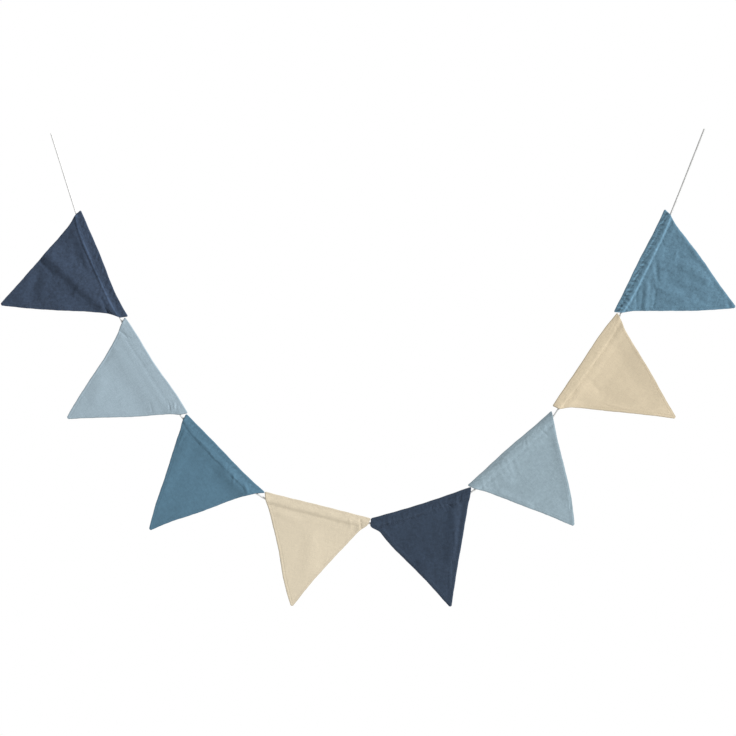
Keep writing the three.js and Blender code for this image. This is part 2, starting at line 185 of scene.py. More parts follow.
# x, z: the left end of the fold. tilt: the fold's angle in degrees. width: along the fold.
# drop: fold to tip. tip: how far along the fold the tip hangs. channel: fold to stitch line.
# fold, left, right: how the three edges leave their straight lines, in one wave (bow), two (sway)
# and three (curl), inward at the fold and outward at the sides. ear: how far the side stands out at the
# channel's mouth. corner: how far it stands out at the fold.
# billow, tip_lift, twist: how the cloth leaves its plane.
PENNANTS = [
    Pennant(
        1, "pennant_1_navy", "navy",
        x=44.4, z=-116, tilt=-66.1, width=172.3, drop=165.9, tip=80.2, channel=18,
        left=Edge(-1.9, -0.2, -0.2, 2.2, 0.3), right=Edge(-0.4, -1.4, -0.2, 4.2, 0.6),
        fold=Edge(2.0, -1.4, 0.6), billow=3.5, tip_lift=2.5, twist=2,
    ),
    Pennant(
        2, "pennant_2_light_blue", "light_blue",
        x=111.6, z=-277.5, tilt=-56.85, width=168.4, drop=154.5, tip=77.4, channel=16,
        left=Edge(-2.6, -1.5, 0, 2, 1.3), right=Edge(1.5, 0.5, -0.4, 2.4, 1),
        fold=Edge(0.4, 0.4, -0.8), billow=2, tip_lift=1.5, twist=-1.5,
    ),
    Pennant(
        3, "pennant_3_mid_blue", "mid_blue",
        x=203.7, z=-422.2, tilt=-44.95, width=163.2, drop=161, tip=81.9, channel=18.2,
        left=Edge(2.8, 0.4, 0.9, 2.2, 1.2), right=Edge(-4, -0.9, -1.3, -0.3, 1.6),
        fold=Edge(1.2, -0.7, 0.2), billow=2.5, tip_lift=-1, twist=1.5,
    ),
    Pennant(
        4, "pennant_4_cream", "cream",
        x=321.5, z=-538, tilt=-14.15, width=161.5, drop=155.9, tip=79.7, channel=16,
        left=Edge(0.4, -0.9, 1, 2.2, 0.6), right=Edge(-2.3, 0.9, 0, 4, 0.4),
        fold=Edge(-0.2, 0.1, 0.1), billow=2, tip_lift=-2.5, twist=-1,
    ),
    Pennant(
        5, "pennant_5_navy", "navy",
        x=480.9, z=-577.4, tilt=17.53, width=155, drop=161.6, tip=72.8, channel=16.4,
        left=Edge(3.5, 2.5, 0.6, 7.5, 0.2), right=Edge(-0.2, 0.6, 0, 1.4, 0.8),
        fold=Edge(2, 0, 0), billow=2.5, tip_lift=-2, twist=1.5,
    ),
    Pennant(
        6, "pennant_6_light_blue", "light_blue",
        x=625.7, z=-527.2, tilt=41.6, width=166.5, drop=149.9, tip=78, channel=16,
        left=Edge(-1.4, 0.3, -0.3, 2.1, 0.6), right=Edge(2.5, -1.6, 0.2, 0.2, 0.3),
        fold=Edge(-0.7, -0.2, 0.4), billow=2, tip_lift=1, twist=1,
    ),
    Pennant(
        7, "pennant_7_cream", "cream",
        x=752.7, z=-408, tilt=55.2, width=166.7, drop=160.3, tip=89.4, channel=15.6,
        left=Edge(-1.2, 0.2, -0.3, 4.5, 0.2), right=Edge(-0.5, -0.4, -0.6, 1.8, 1.8),
        fold=Edge(-1.8, 0.8, -0.4), billow=2, tip_lift=4.5, twist=1.5,
    ),
    Pennant(
        8, "pennant_8_mid_blue", "mid_blue",
        x=844.7, z=-267, tilt=63.6, width=170.1, drop=159.2, tip=86.4, channel=17.6,
        left=Edge(1.7, -1, 0, 2.1, 0.4), right=Edge(0.2, 0.4, -0.6, 2.3, 0.4),
        fold=Edge(0.1, -0.2, 0.4), billow=2.5, tip_lift=1, twist=1.5,
    ),
]

# forward: how far the cloth hangs in front of the cord, which then shows less.
# crown, foot: half breadth of the cord's ridge towards the fold and towards the stitch line.
# low: how far its crest lies below the cord.
# groove, groove_from: depth of the channel's stitch line, and where along the fold it begins to show.
# rub: how much paler the ridge is, partly worn and partly a painted highlight. gather: height of the small
# puckers at the channel.
# uneven: the blade's slow waves. hem_left, hem_right: how far the hems stand up.
# fold_shade: how much darker the fold is painted, as painted shade. speckle: small marks in the channel's
# cloth.
# mottle: unevenness of the colour. colour: the cloth as a screen shows it.
Looks = namedtuple(
    "Looks",
    "forward crown foot gather uneven hem_left hem_right speckle mottle colour"
    " low groove groove_from rub fold_shade",
    defaults=(0, 0, 0, 0, 0),
)
LOOKS = {
    1: Looks(
        forward=0.9, crown=5, foot=4.4, low=1.6, groove=0.05, rub=1.5, gather=1.2, uneven=1.1,
        hem_left=0.15, hem_right=0.3, speckle=0.25, mottle=1.4, colour=(50, 64, 84),
    ),
    2: Looks(
        forward=1.45, crown=12, foot=9, gather=0.15, uneven=0.2, hem_left=0.1, hem_right=0.2,
        speckle=0.03, mottle=0.2, colour=(153, 171, 182),
    ),
    3: Looks(
        forward=0.95, crown=10, foot=4.4, groove=0.15, groove_from=45, rub=0.1, gather=0.6, uneven=0.4,
        hem_left=0.15, hem_right=0.2, speckle=0.1, mottle=0.45, colour=(81, 115, 135),
    ),
    4: Looks(
        forward=0.7, crown=11, foot=7, gather=0.25, uneven=0.15, hem_left=0.1, hem_right=0.15,
        speckle=0.03, mottle=0.15, colour=(209, 197, 174),
    ),
    5: Looks(
        forward=1.1, crown=10, foot=4.4, groove=0.2, rub=0.05, gather=1.2, uneven=0.6, hem_left=0.6,
        hem_right=0.4, speckle=0.1, mottle=1.0, colour=(45, 59, 77),
    ),
    6: Looks(
        forward=0.95, crown=9, foot=8, gather=0.4, uneven=0.4, hem_left=0.3, hem_right=0.35,
        fold_shade=0.2, speckle=0.08, mottle=0.45, colour=(146, 165, 175),
    ),
    7: Looks(
        forward=1.4, crown=9, foot=4.4, groove=0.02, rub=0.08, gather=0.25, uneven=0.15, hem_left=0.2,
        hem_right=0.12, fold_shade=0.08, speckle=0.03, mottle=0.15, colour=(211, 196, 169),
    ),
    8: Looks(
        forward=0.0, crown=9, foot=4.4, groove=0.12, rub=0.35, gather=1.0, uneven=1.0, hem_left=0.2,
        hem_right=0.6, fold_shade=0.1, speckle=0.42, mottle=1.05, colour=(96, 130, 150),
    ),
}

# Soft folds: pennant, from (u, v) to (u, v), height to the front, half breadth on the tip's side,
# and how many times broader it is on the fold's side
Fold = namedtuple("Fold", "pennant u0 v0 u1 v1 height reach lean", defaults=(1,))
FOLDS = [
    Fold(1, 38, 73, 142, 27, 4.6, 15, 1.8), Fold(1, 98, 54, 130, 42, 1.6, 15),
    Fold(1, 60, 94, 88, 118, -1.6, 16),
    Fold(2, 30, 38, 130, 36, 1.1, 26), Fold(2, 62, 84, 76, 104, 0.7, 16),
    Fold(3, 106, 18, 150, 18, 2.5, 26), Fold(3, 30, 35, 52, 100, 1.0, 16),
    Fold(4, 8, 18.5, 142, 19, -0.8, 10), Fold(4, 84, 48, 92, 96, 0.6, 20),
    Fold(5, 127, 20, 97, 92, 1.4, 8, 2.2), Fold(5, 52, 90, 84, 104, 0.8, 14),
    Fold(6, 28, 42, 46, 84, 0.9, 10), Fold(6, 158, 14, 100, 112, 0.7, 13),
    Fold(7, 160, 25, 112, 125, 1.7, 34), Fold(7, 76, 62, 86, 100, 0.5, 20),
    Fold(7, 44, 16, 44, 44, 0.7, 18),
    Fold(8, 108, 66, 104, 102, 1.8, 14), Fold(8, 72, 52, 78, 104, -1.1, 14),
]

# Creases too fine for the solids, in the same terms
CREASES = [
    Fold(1, 132, 25, 155, 23.5, -1.7, 5), Fold(1, 60, 23, 84, 24, 0.8, 6), Fold(1, 44, 86, 72, 77, -0.9, 5),
    Fold(1, 30, 56, 46, 66, 0.7, 7), Fold(1, 118, 22, 130, 31, -0.9, 3.5),
    Fold(1, 86, 12, 90, 24, -0.6, 2.5), Fold(1, 100, 44, 112, 60, 0.5, 5),
    Fold(1, 104, 96, 98, 132, 0.7, 4), Fold(1, 74, 30, 90, 40, -0.6, 4), Fold(1, 40, 36, 62, 44, 0.6, 7),
    Fold(1, 44, 17, 80, 17, 0.5, 4), Fold(1, 112, 8, 122, 18, -0.6, 3), Fold(1, 126, 6, 134, 18, -0.6, 3),
    Fold(1, 62, 96, 78, 112, -0.6, 7), Fold(1, 20, 26, 32, 40, -0.5, 5),
    Fold(2, 12, 17, 29, 11, -0.5, 3.5), Fold(2, 147, 8, 152, 12, 0.4, 1.8),
    Fold(2, 150, 6, 156, 11, -0.4, 1.8), Fold(2, 145, 16, 153, 20, -0.6, 2),
    Fold(2, 126, 38, 140, 43, -0.3, 3), Fold(2, 30, 44, 40, 66, -0.4, 6),
    Fold(3, 113, 13, 121, 23, 0.5, 3), Fold(3, 96, 8, 101, 16, -0.4, 2.2),
    Fold(3, 136, 13, 146, 18, 0.7, 4.5), Fold(3, 34, 14, 58, 13, 0.3, 2.5), Fold(3, 16, 20, 22, 40, 0.4, 4),
    Fold(3, 48, 15.5, 102, 16, 0.45, 8), Fold(3, 92, 74, 100, 68, 0.3, 2.6),
    Fold(3, 66, 16, 76, 17, 0.4, 3), Fold(3, 112, 15, 118, 16, 0.5, 3),
    Fold(4, 26, 4, 36, 6, 0.3, 3), Fold(4, 148, 6, 152, 17, -0.6, 3), Fold(4, 132, 8, 136, 18, 0.3, 3),
    Fold(4, 28, 26, 56, 30, 0.4, 9), Fold(4, 96, 6, 104, 5, 0.25, 3),
    Fold(5, 8, 13, 20, 14, -0.8, 3), Fold(5, 25, 12, 31, 14, -0.8, 2.4), Fold(5, 48, 16, 56, 18, -0.5, 2.2),
    Fold(5, 70, 16, 76, 18, -0.7, 2.2), Fold(5, 92, 12, 96, 20, 0.5, 2.2),
    Fold(5, 104, 8, 108, 20, 0.6, 2.4), Fold(5, 114, 12, 120, 20, -0.7, 2.4),
    Fold(5, 132, 4, 128, 18, 0.6, 3), Fold(5, 140, 3, 134, 15, -0.5, 2.4),
    Fold(5, 88, 112, 80, 134, 0.5, 4), Fold(5, 10, 18, 20, 40, 0.5, 3), Fold(5, 112, 58, 108, 74, 0.6, 4),
    Fold(5, 118, 26, 116, 44, 0.6, 8), Fold(5, 60, 34, 74, 44, 0.4, 3), Fold(5, 78, 44, 92, 50, -0.3, 2.4),
    Fold(6, 38, 10, 30, 30, 0.25, 4.2), Fold(6, 51, 6, 44, 30, 0.25, 4), Fold(6, 59, 8, 53, 37, 0.2, 3.6),
    Fold(6, 69, 9, 60, 33, 0.28, 3.6), Fold(6, 78, 16, 70, 38, 0.25, 3.8),
    Fold(6, 98, 13, 106, 5, 0.35, 2.6), Fold(6, 112, 6, 104, 18, 0.3, 3),
    Fold(6, 136, 8, 138, 24, -0.4, 2.4), Fold(6, 104, 112, 90, 130, -0.4, 3),
    Fold(6, 20, 8, 14, 20, 0.3, 3), Fold(6, 66, 2, 48, 30, 0.5, 16),
    Fold(7, 63, 20, 57, 43, -0.25, 6), Fold(7, 102, 9, 106, 14, 0.3, 2.2),
    Fold(7, 114, 8, 118, 14, 0.3, 2.4), Fold(7, 150, 10, 158, 18, -0.4, 2.4),
    Fold(7, 46, 60, 60, 95, 0.2, 3),
    Fold(8, 57, 26, 22, 40, 1.7, 6.5), Fold(8, 95, 22, 72, 36, -0.9, 5.5), Fold(8, 84, 23, 56, 42, 0.35, 3),
    Fold(8, 57, 41, 33, 49, -0.9, 4.5), Fold(8, 40, 17, 18, 28, -0.8, 3.4),
    Fold(8, 110, 46, 123, 43, 0.5, 3), Fold(8, 14, 6, 10, 18, 0.8, 2.4), Fold(8, 22, 5, 17, 17, 0.8, 2.2),
    Fold(8, 30, 4, 25, 15, 0.6, 2.2), Fold(8, 60, 52, 66, 72, 0.7, 6), Fold(8, 128, 16, 122, 22, -0.6, 2.4),
    Fold(8, 96, 140, 84, 150, -0.9, 5), Fold(8, 150, 16, 157, 22, -0.9, 3),
    Fold(8, 86, 20, 100, 30, 0.4, 4), Fold(8, 150, 22, 128, 74, 0.9, 9),
]

# The cord from its left end to its right end, in metres, as in the part's source
CORD_ROUTE = [
    (0, 0, 0), (0.0126, 0, -0.04), (0.025, 0, -0.08), (0.0372, 0, -0.119),
    (0.044, 0, -0.1465), (0.0662, 0, -0.2006), (0.0905, 0, -0.2539), (0.1036, 0, -0.277),
    (0.107, 0, -0.284), (0.1165, 0, -0.3065), (0.1473, 0, -0.3547), (0.1792, 0, -0.4023),
    (0.1944, 0, -0.423), (0.199, 0, -0.4295), (0.2127, 0, -0.4501), (0.2515, 0, -0.4898),
    (0.2912, 0, -0.5286), (0.3136, 0, -0.5434), (0.3206, 0, -0.5476), (0.344, 0, -0.5547),
    (0.3973, 0, -0.5688), (0.4508, 0, -0.5816), (0.472, 0, -0.5842), (0.48, 0, -0.5846),
    (0.5073, 0, -0.5812), (0.558, 0, -0.5659), (0.6084, 0, -0.5493), (0.6286, 0, -0.539),
    (0.636, 0, -0.5336), (0.6529, 0, -0.5177), (0.6957, 0, -0.4806), (0.7376, 0, -0.4426),
    (0.754, 0, -0.4234), (0.7616, 0, -0.412), (0.7766, 0, -0.3921), (0.8094, 0, -0.3459),
    (0.8413, 0, -0.299), (0.8516, 0, -0.2776), (0.855, 0, -0.2692), (0.8683, 0, -0.2483),
    (0.8946, 0, -0.1968), (0.9197, 0, -0.1447), (0.929, 0, -0.1216), (0.946, 0, -0.079),
    (0.963, 0, -0.036), (0.9798, 0, 0.0068),
]
CORD_DIAMETER = 0.003
CORD_STEP = 0.001
STRANDS = 3
STRAND_RADIUS = 0.0012
CORD_SIDES = 24
TWIST_PITCH = 0.0085
TWIST_DRIFT = 0.3
TWIST_DRIFT_LENGTH = 0.04
CORD_SWELLS = ((0.02, 0.013, 0), (0.015, 0.0047, 0))

# Camera and light
PHOTO_WIDTH = 1.104
VIEW_CENTRE = (0.4752, -0.35175)
CAMERA_DISTANCE = 3.0667
SENSOR = 36.0
FLOOR_HEIGHT = -1.5
ROOM_LIGHT = 0.42
KEY_FROM = (0.85, -0.42, 0.32)
KEY_STRENGTH = 4.4
KEY_SOFTNESS = 9
BACK_KEY_FROM = (-0.6, 0.6, 0.5)
BACK_KEY_STRENGTH = 2.6
BACK_KEY_SOFTNESS = 14
FLOOR_CORNERS = ((-2, -2), (3, -2), (3, 2), (-2, 2))

# Cotton as light sees it. WAVE_TURN is what Blender's wave texture multiplies a place by.
WEAVE_PITCH = 0.00056
WAVE_TURN = 20
WEAVE_UNEVEN = 0.6
SLUBS_DOWN = (1800, 500, 90)
SLUBS_ACROSS = (90, 500, 1800)
CLOUD_SCALE = 34
MOTTLE_SCALE = 260
FUZZ_SCALE = 1100

# Between which values a noise, a noise seen sharper and the sum of two noises are used
NOISE_SPAN = (0.3, 0.7)
SHARP_SPAN = (0.35, 0.65)
SUM_SPAN = (0.7, 1.3)

# At the shade MIDDLE cotton has its own colour. From there it gets up to MOST_LIGHT times as light,
# and no part of a colour goes over PALEST. A tone is how far one cause moves the shade in all.
MIDDLE = 0.45
MOST_LIGHT = 1.55
PALEST = 0.95
WEAVE_SHADES = (0.32, 0.5)
SLUB_TONE = 0.12
CLOUD_TONE = 0.14
MOTTLE_TONE = 0.3
FUZZ_TONE = 0.12
COTTON_ROUGHNESS = (0.97, 0.84)
COTTON_BUMP = 0.5
MOTTLE_BUMP = 0.3
WEAVE_DEPTH = 0.00016
SLUB_DEPTH = 0.0003
MOTTLE_DEPTH = 0.0006
YARN_SHINE = 0.2

# Sewing thread and cord. Over the span below, along X, the cord turns from its own off-white on the left to
# a greyer right part, painted shade for the weaker light there.
THREAD_FUZZ_SCALE = 2600
THREAD_TONES = (0.9, 1.15)
THREAD_ROUGHNESS = (0.8, 0.6)
THREAD_DEPTH = 0.0001
YARN_BUMP = 0.4
FIBRE_SCALE = 3200
FIBRE_SHARE = 0.25
FIBRE_DEPTH = 0.00015
CORD_CLOUD_SCALE = 120
CORD_CLOUD_SPAN = (0.4, 0.7)
CORD_CLOUD_SHARE = 0.2
CORD_ROUGHNESS = (0.95, 0.82)
CORD_LIGHT_DEPTH = 0.001
CORD_PAINTED_SHADE_SPAN = (0, 1)
CORD_LEFT_COLOUR = (224, 224, 223)
CORD_RIGHT_PAINTED_SHADE = (190, 190, 189)
CORD_HOLLOW_COLOUR = (184, 184, 183)

FLOOR_GRAIN = 6
FLOOR_COLOURS = ((238, 238, 236), (244, 244, 243))


def spline(points, per_span=40):
    """A centripetal curve through the points, as the part's source draws it."""
    given = np.array(points, float)
    given = np.vstack([2 * given[0] - given[1], given, 2 * given[-1] - given[-2]])
    share = np.linspace(0, 1, per_span, endpoint=False)[:, None]
    pieces = []
    for p0, p1, p2, p3 in zip(given, given[1:], given[2:], given[3:]):
        t0, t1, t2 = (np.linalg.norm(b - a) ** 0.5 for a, b in ((p0, p1), (p1, p2), (p2, p3)))
        m1 = ((p1 - p0) / t0 - (p2 - p0) / (t0 + t1) + (p2 - p1) / t1) * t1
        m2 = ((p2 - p1) / t1 - (p3 - p1) / (t1 + t2) + (p3 - p2) / t2) * t1
        cubic = 2 * p1 - 2 * p2 + m1 + m2
        square = -3 * p1 + 3 * p2 - 2 * m1 - m2
        pieces.append(((cubic * share + square) * share + m1) * share + p1)
    return np.vstack([*pieces, given[-2:-1]])


def resampled(points, step):
    """The same line with its points a step apart, and its length."""
    lengths = np.concatenate([[0], np.cumsum(np.linalg.norm(np.diff(points, axis=0), axis=1))])
    count = max(int(round(lengths[-1] / step)), 2)
    at = np.linspace(0, lengths[-1], count + 1)
    return np.column_stack([np.interp(at, lengths, points[:, k]) for k in range(3)]), lengths[-1]


def bump(distance, reach):
    """1 in the middle, 0 from the reach on."""
    return np.cos(np.clip(np.abs(distance) / reach, 0, 1) * math.pi / 2) ** 2


def smooth(x):
    x = np.clip(x, 0, 1)
    return x * x * (3 - 2 * x)


def waves(edge, share):
    """How far an edge leaves its straight line at a share of its length."""
    turn = math.pi * share
    return edge.bow * np.sin(turn) + edge.sway * np.sin(2 * turn) + edge.curl * np.sin(3 * turn)


def wavy(at, rows, phase):
    """A sum of waves, each with its height, its length by radian, and how often it takes the phase."""
    return sum(height * np.sin(at / length + times * phase) for height, length, times in rows)


CORD_LINE = spline(CORD_ROUTE)


class Shape:
    """One pennant's cloth, in its own axes: u along the fold, v down from it, w to the front."""

    def __init__(self, pennant):
        self.pennant = pennant
        self.looks = LOOKS[pennant.number]
        tilt = math.radians(pennant.tilt)
        self.cos, self.sin = math.cos(tilt), math.sin(tilt)
        self.random = np.random.default_rng(SEED + pennant.number)
        # The stretch of cord near this pennant, in its own axes
        x = CORD_LINE[:, 0] / MM - pennant.x
        z = CORD_LINE[:, 2] / MM - pennant.z
        u, v = x * self.cos + z * self.sin, x * self.sin - z * self.cos
        beside = (u > -CORD_PAST) & (u < pennant.width + CORD_PAST)
        near = beside & (v > -CORD_ABOVE) & (v < CORD_BELOW)
        self.line_u, self.line_v = u[near], v[near]
        self.puckers = self.pucker_rows()
        self.slow_waves = self.wave_rows()
        self.marks = self.mark_rows()

    def line(self, u):
        """How far the cord lies below the fold."""
        return np.interp(u, self.line_u, self.line_v)

    def world(self, u, v, w):
        """Metres in the shared frame."""
        x = self.pennant.x + u * self.cos + v * self.sin
        z = self.pennant.z + u * self.sin - v * self.cos
        return np.stack([x * MM, -w * MM, z * MM], -1)

    def edges(self, v):
        """Where the cloth's left and right edges are, at each distance below the fold."""
        pennant = self.pennant
        along = v / (pennant.drop + TIP_OVERSHOOT)
        part = v / pennant.drop
        ear = np.exp(-(((v - EAR_AT) / EAR_REACH) ** 2))
        corner = bump(np.clip(v, 0, None), CORNER_REACH)
        into = np.clip(CORNER_ROUND - v, 0, CORNER_ROUND)
        rounding = CORNER_ROUND - np.sqrt(CORNER_ROUND**2 - into**2)
        start = WOBBLE_PHASE * pennant.number
        out = [
            waves(edge, part) + edge.ear * ear + edge.corner * corner + self.edge_wobble(v, phase) - rounding
            for edge, phase in ((pennant.left, start), (pennant.right, start + OTHER_EDGE_PHASE))
        ]
        left = pennant.tip * along - out[0]
        right = pennant.width - (pennant.width - pennant.tip) * along + out[1]
        middle, half = (left + right) / 2, (right - left) / 2
        to_tip = np.clip(pennant.drop - v, 0, None)
        rounded = np.sqrt(np.clip(TIP_ROUND**2 - (TIP_ROUND - to_tip) ** 2, 0, None))
        half = np.where(to_tip < TIP_ROUND, np.minimum(half, rounded), half)
        return middle - half, middle + half

    def edge_wobble(self, v, phase):
        inner = smooth(v / WOBBLE_FROM) * smooth((self.pennant.drop - v) / WOBBLE_TO_TIP)
        return wavy(v, EDGE_WOBBLES, phase) * inner

    def side_lengths(self):
        """The straight lengths of the left and the right side."""
        pennant = self.pennant
        return math.hypot(pennant.drop, pennant.tip), math.hypot(pennant.drop, pennant.width - pennant.tip)

    def to_edges(self, u, v):
        """How far a place lies inside the left and the right edge."""
        left, right = self.edges(v)
        drop = self.pennant.drop
        left_side, right_side = self.side_lengths()
        return (u - left) * drop / left_side, (right - u) * drop / right_side

    def pucker_rows(self):
        """Small gathers where the channel is sewn down: place, height, half breadth, reach, slant."""
        draw = self.random
        count = int(self.pennant.width / PUCKER_PITCH)
        even = np.linspace(PUCKER_MARGIN, self.pennant.width - PUCKER_MARGIN, count)
        place = even + draw.uniform(-PUCKER_SCATTER, PUCKER_SCATTER, count)
        height = draw.uniform(*PUCKER_HEIGHTS, count) * np.where(draw.random(count) < 0.5, 1, -1)
        half = draw.uniform(*PUCKER_HALVES, count)
        reach = draw.uniform(*PUCKER_REACHES, count)
        slant = draw.uniform(*PUCKER_SLANTS, count)
        return np.column_stack([place, height * self.looks.gather, half, reach, slant])

    def wave_rows(self):
        """Slow unevenness of hand-finished cloth: direction, wavelength, phase, height."""
        draw = self.random
        angle = draw.uniform(0, math.pi, WAVE_COUNT)
        length = draw.uniform(*WAVE_LENGTHS, WAVE_COUNT)
        phase = draw.uniform(0, 2 * math.pi, WAVE_COUNT)
        height = WAVE_STEEPNESS * length * draw.uniform(*WAVE_SPREAD, WAVE_COUNT)
        return np.column_stack([angle, length, phase, height * self.looks.uneven])

    def mark_rows(self):
        """Small irregular marks: direction, wavelength and phase."""
        draw = self.random
        angle = draw.uniform(0, math.pi, MARK_COUNT)
        length = draw.uniform(*MARK_LENGTHS, MARK_COUNT)
        phase = draw.uniform(0, 2 * math.pi, MARK_COUNT)
        return np.column_stack([angle, length, phase])

    def relief(self, u, v, rows):
        """The height of this pennant's folds at a place; each fades out to its sides and ends."""
        total = np.zeros(np.broadcast(u, v).shape)
        for row in rows:
            if row.pennant != self.pennant.number:
                continue
            run_u, run_v = row.u1 - row.u0, row.v1 - row.v0
            length = math.hypot(run_u, run_v)
            along = ((u - row.u0) * run_u + (v - row.v0) * run_v) / length
            across = ((u - row.u0) * run_v - (v - row.v0) * run_u) / length
            beyond = np.maximum(np.maximum(-along, along - length), 0)
            above = across * np.sign(run_u) > 0
            reach = np.where(above, row.reach * row.lean, row.reach)
            total += row.height * bump(np.hypot(across, beyond), reach)
        return total

    def lift(self, u, v):
        """The middle of the blade, as its distance to the front."""
        pennant = self.pennant
        below = np.clip((v - pennant.channel) / (pennant.drop - pennant.channel), 0, 1)
        across = u / pennant.width - 0.5
        swell = pennant.billow * np.sin(math.pi * below) * np.cos(math.pi * across)
        twist = pennant.twist * 2 * across * np.sin(math.pi * below)
        broad = self.relief(u, v, FOLDS) * smooth((v - RELIEF_FROM) / RELIEF_RISE)
        return swell + twist + broad + pennant.tip_lift * below**TIP_SWING

    def creases(self, u, v):
        return self.relief(u, v, CREASES) * smooth((v - CREASE_FROM) / CREASE_RISE)

    def unevenness(self, u, v):
        """Slow waves, calmer in the channel, and the gathers at its stitch line."""
        total = np.zeros(np.broadcast(u, v).shape)
        for angle, length, phase, height in self.slow_waves:
            way = (u * math.cos(angle) + v * math.sin(angle)) * 2 * math.pi / length
            total += height * np.sin(way + phase)
        total *= CALM_SHARE + (1 - CALM_SHARE) * smooth((v - CALM_TO) / CALM_FADE)
        for place, height, half, reach, slant in self.puckers:
            away = v - self.pennant.channel + PUCKER_ABOVE_SEAM
            across = (u - place - slant * away) / half
            total += height * np.exp(-(across**2) - (away / reach) ** 2)
        return total * smooth(v / FOLD_CALM)

    def seat(self, v):
        """How far the whole cloth hangs in front of its solid's middle."""
        return self.looks.forward * (1 - smooth((v - self.pennant.channel - SEAT_PAST) / SWING_BACK))

    def wall(self, u, v, side):
        """How far a wall of the channel stands from the seat; side: 1 in front, -1 behind."""
        crest = self.line(u) + (self.looks.low if side > 0 else 0)
        mouth = bump(np.minimum(np.clip(u, 0, None), np.clip(self.pennant.width - u, 0, None)), MOUTH_REACH)
        clear = CORD_RADIUS + CORD_GAP + ROOM_SPARE + CLOTH / 2 - side * self.looks.forward
        clear = clear + MOUTH_GAPE * mouth
        rise = np.clip(clear - FOLD_RADIUS, LEAST_RISE, None)
        towards_fold = np.minimum(self.looks.crown, crest * CREST_SHARE)
        towards_seam = np.minimum(self.looks.foot, self.pennant.channel - crest + FOOT_PAST)
        return FOLD_RADIUS + rise * bump(v - crest, np.where(v < crest, towards_fold, towards_seam))

    def cord_room(self, u, v):
        """How far the middle of a wall stays from the cord's middle, so that neither cuts the other."""
        room = CORD_RADIUS + CORD_GAP + CLOTH / 2
        return np.sqrt(np.clip(room**2 - (v - self.line(u)) ** 2, 0, None))

    def front(self, u, v):
        """The middle of the doubled cloth, from the fold down to the tip."""
        below = v - self.pennant.channel
        pressed = FOLD_RADIUS * (1 - smooth((below - STRIP_END) / SETTLE))
        height = np.where(below < WALL_PAST, self.wall(u, v, 1), pressed)
        hung = height + self.seat(v) + self.lift(u, v) + self.unevenness(u, v) + self.creases(u, v)
        room = self.cord_room(u, v)
        return np.where(room > 0, np.maximum(hung, room), hung)

    def back(self, u, v):
        """The middle of the turned strip behind the channel."""
        loose = STRIP_LOOSE * smooth((v - self.pennant.channel) / STRIP_END)
        uneven = self.unevenness(u, v) + self.lift(u, v) + np.minimum(self.creases(u, v), 0)
        hung = self.seat(v) - self.wall(u, v, -1) - loose + uneven
        room = self.cord_room(u, v)
        return np.where(room > 0, np.minimum(hung, -room), hung)

    def half(self, u, v):
        """Half the cloth's thickness: hems stand up, seams pull in."""
        from_left, from_right = self.to_edges(u, v)
        inside = np.minimum(from_left, from_right)
        blade = smooth((v - self.pennant.channel) / HEM_START)
        hem = sum(
            height * bump(distance - HEM_WIDTH / 2, HEM_WIDTH / 2 + HEM_SOFT)
            for height, distance in ((self.looks.hem_left, from_left), (self.looks.hem_right, from_right))
        )
        seam = SEAM_SINK * np.exp(-(((inside - EDGE_SEAM) / SEAM_HALF) ** 2))
        return CLOTH / 2 + (hem - seam) * blade - self.groove(u, v, GROOVE_HALF)

    def groove(self, u, v, half):
        """How deep the channel's stitch line pulls in, here and there more."""
        shown = smooth((u - self.looks.groove_from) / GROOVE_FADE + 1)
        pull = MEAN_PULL + wavy(u, PULL_WAVES, self.pennant.number)
        return self.looks.groove * shown * pull * np.exp(-(((v - self.pennant.channel) / half) ** 2))

    def wear_and_painted_light(self, u, v):
        """How much lighter the cloth is rubbed, with a painted highlight on the cord's ridge, and how much
        darker painted shade makes it at the stitch lines, the fold and the rim of the paler cloths.
        """
        looks = self.looks
        inside = np.minimum(*self.to_edges(u, v))
        below = v - self.line(u)
        first, second = PATCH_LENGTHS
        patchy = 1 - PATCHINESS + PATCHINESS * np.sin(u / first + self.pennant.number) * np.sin(u / second)
        marks = sum(
            np.sin((u * math.cos(angle) + v * math.sin(angle)) * 2 * math.pi / length + phase)
            for angle, length, phase in self.marks
        )
        marks = marks / math.sqrt(MARK_COUNT) * bump(v - MARKS_AT, MARKS_HALF)
        rubbed_and_painted_light = FOLD_RUB * (looks.mottle - FOLD_RUB_OVER) * bump(v, EDGE_BAND_WIDTH)
        # The rim: rubbed paler on the most mottled, darker cloths, and darker by painted shade on the paler
        # ones
        rubbed_and_painted_light = rubbed_and_painted_light + RIM_WEAR_AND_SHADE * (min(looks.mottle, 1) - RIM_WEAR_AND_SHADE_OVER) * bump(inside, EDGE_BAND_WIDTH)
        # Along the cord's ridge: a paler band, partly rubbed wear and partly a painted highlight
        rubbed_and_painted_light = rubbed_and_painted_light + looks.rub * patchy * bump(below - RIDGE_PALE_AT, RIDGE_PALE_HALF)
        rubbed_and_painted_light = rubbed_and_painted_light + looks.speckle * marks
        # Painted shade along the channel's stitch line
        shade = GROOVE_SHADE * self.groove(u, v, GROOVE_SHADE_HALF)
        # Painted shade along the fold
        shade = shade + looks.fold_shade * bump(v - FOLD_SHADE_AT, FOLD_SHADE_HALF)
        # Painted shade along the edge seams
        hem = SEAM_SHADE * np.exp(-(((inside - EDGE_SEAM) / SEAM_HALF) ** 2)) * (v > self.pennant.channel)
        return rubbed_and_painted_light - shade - hem


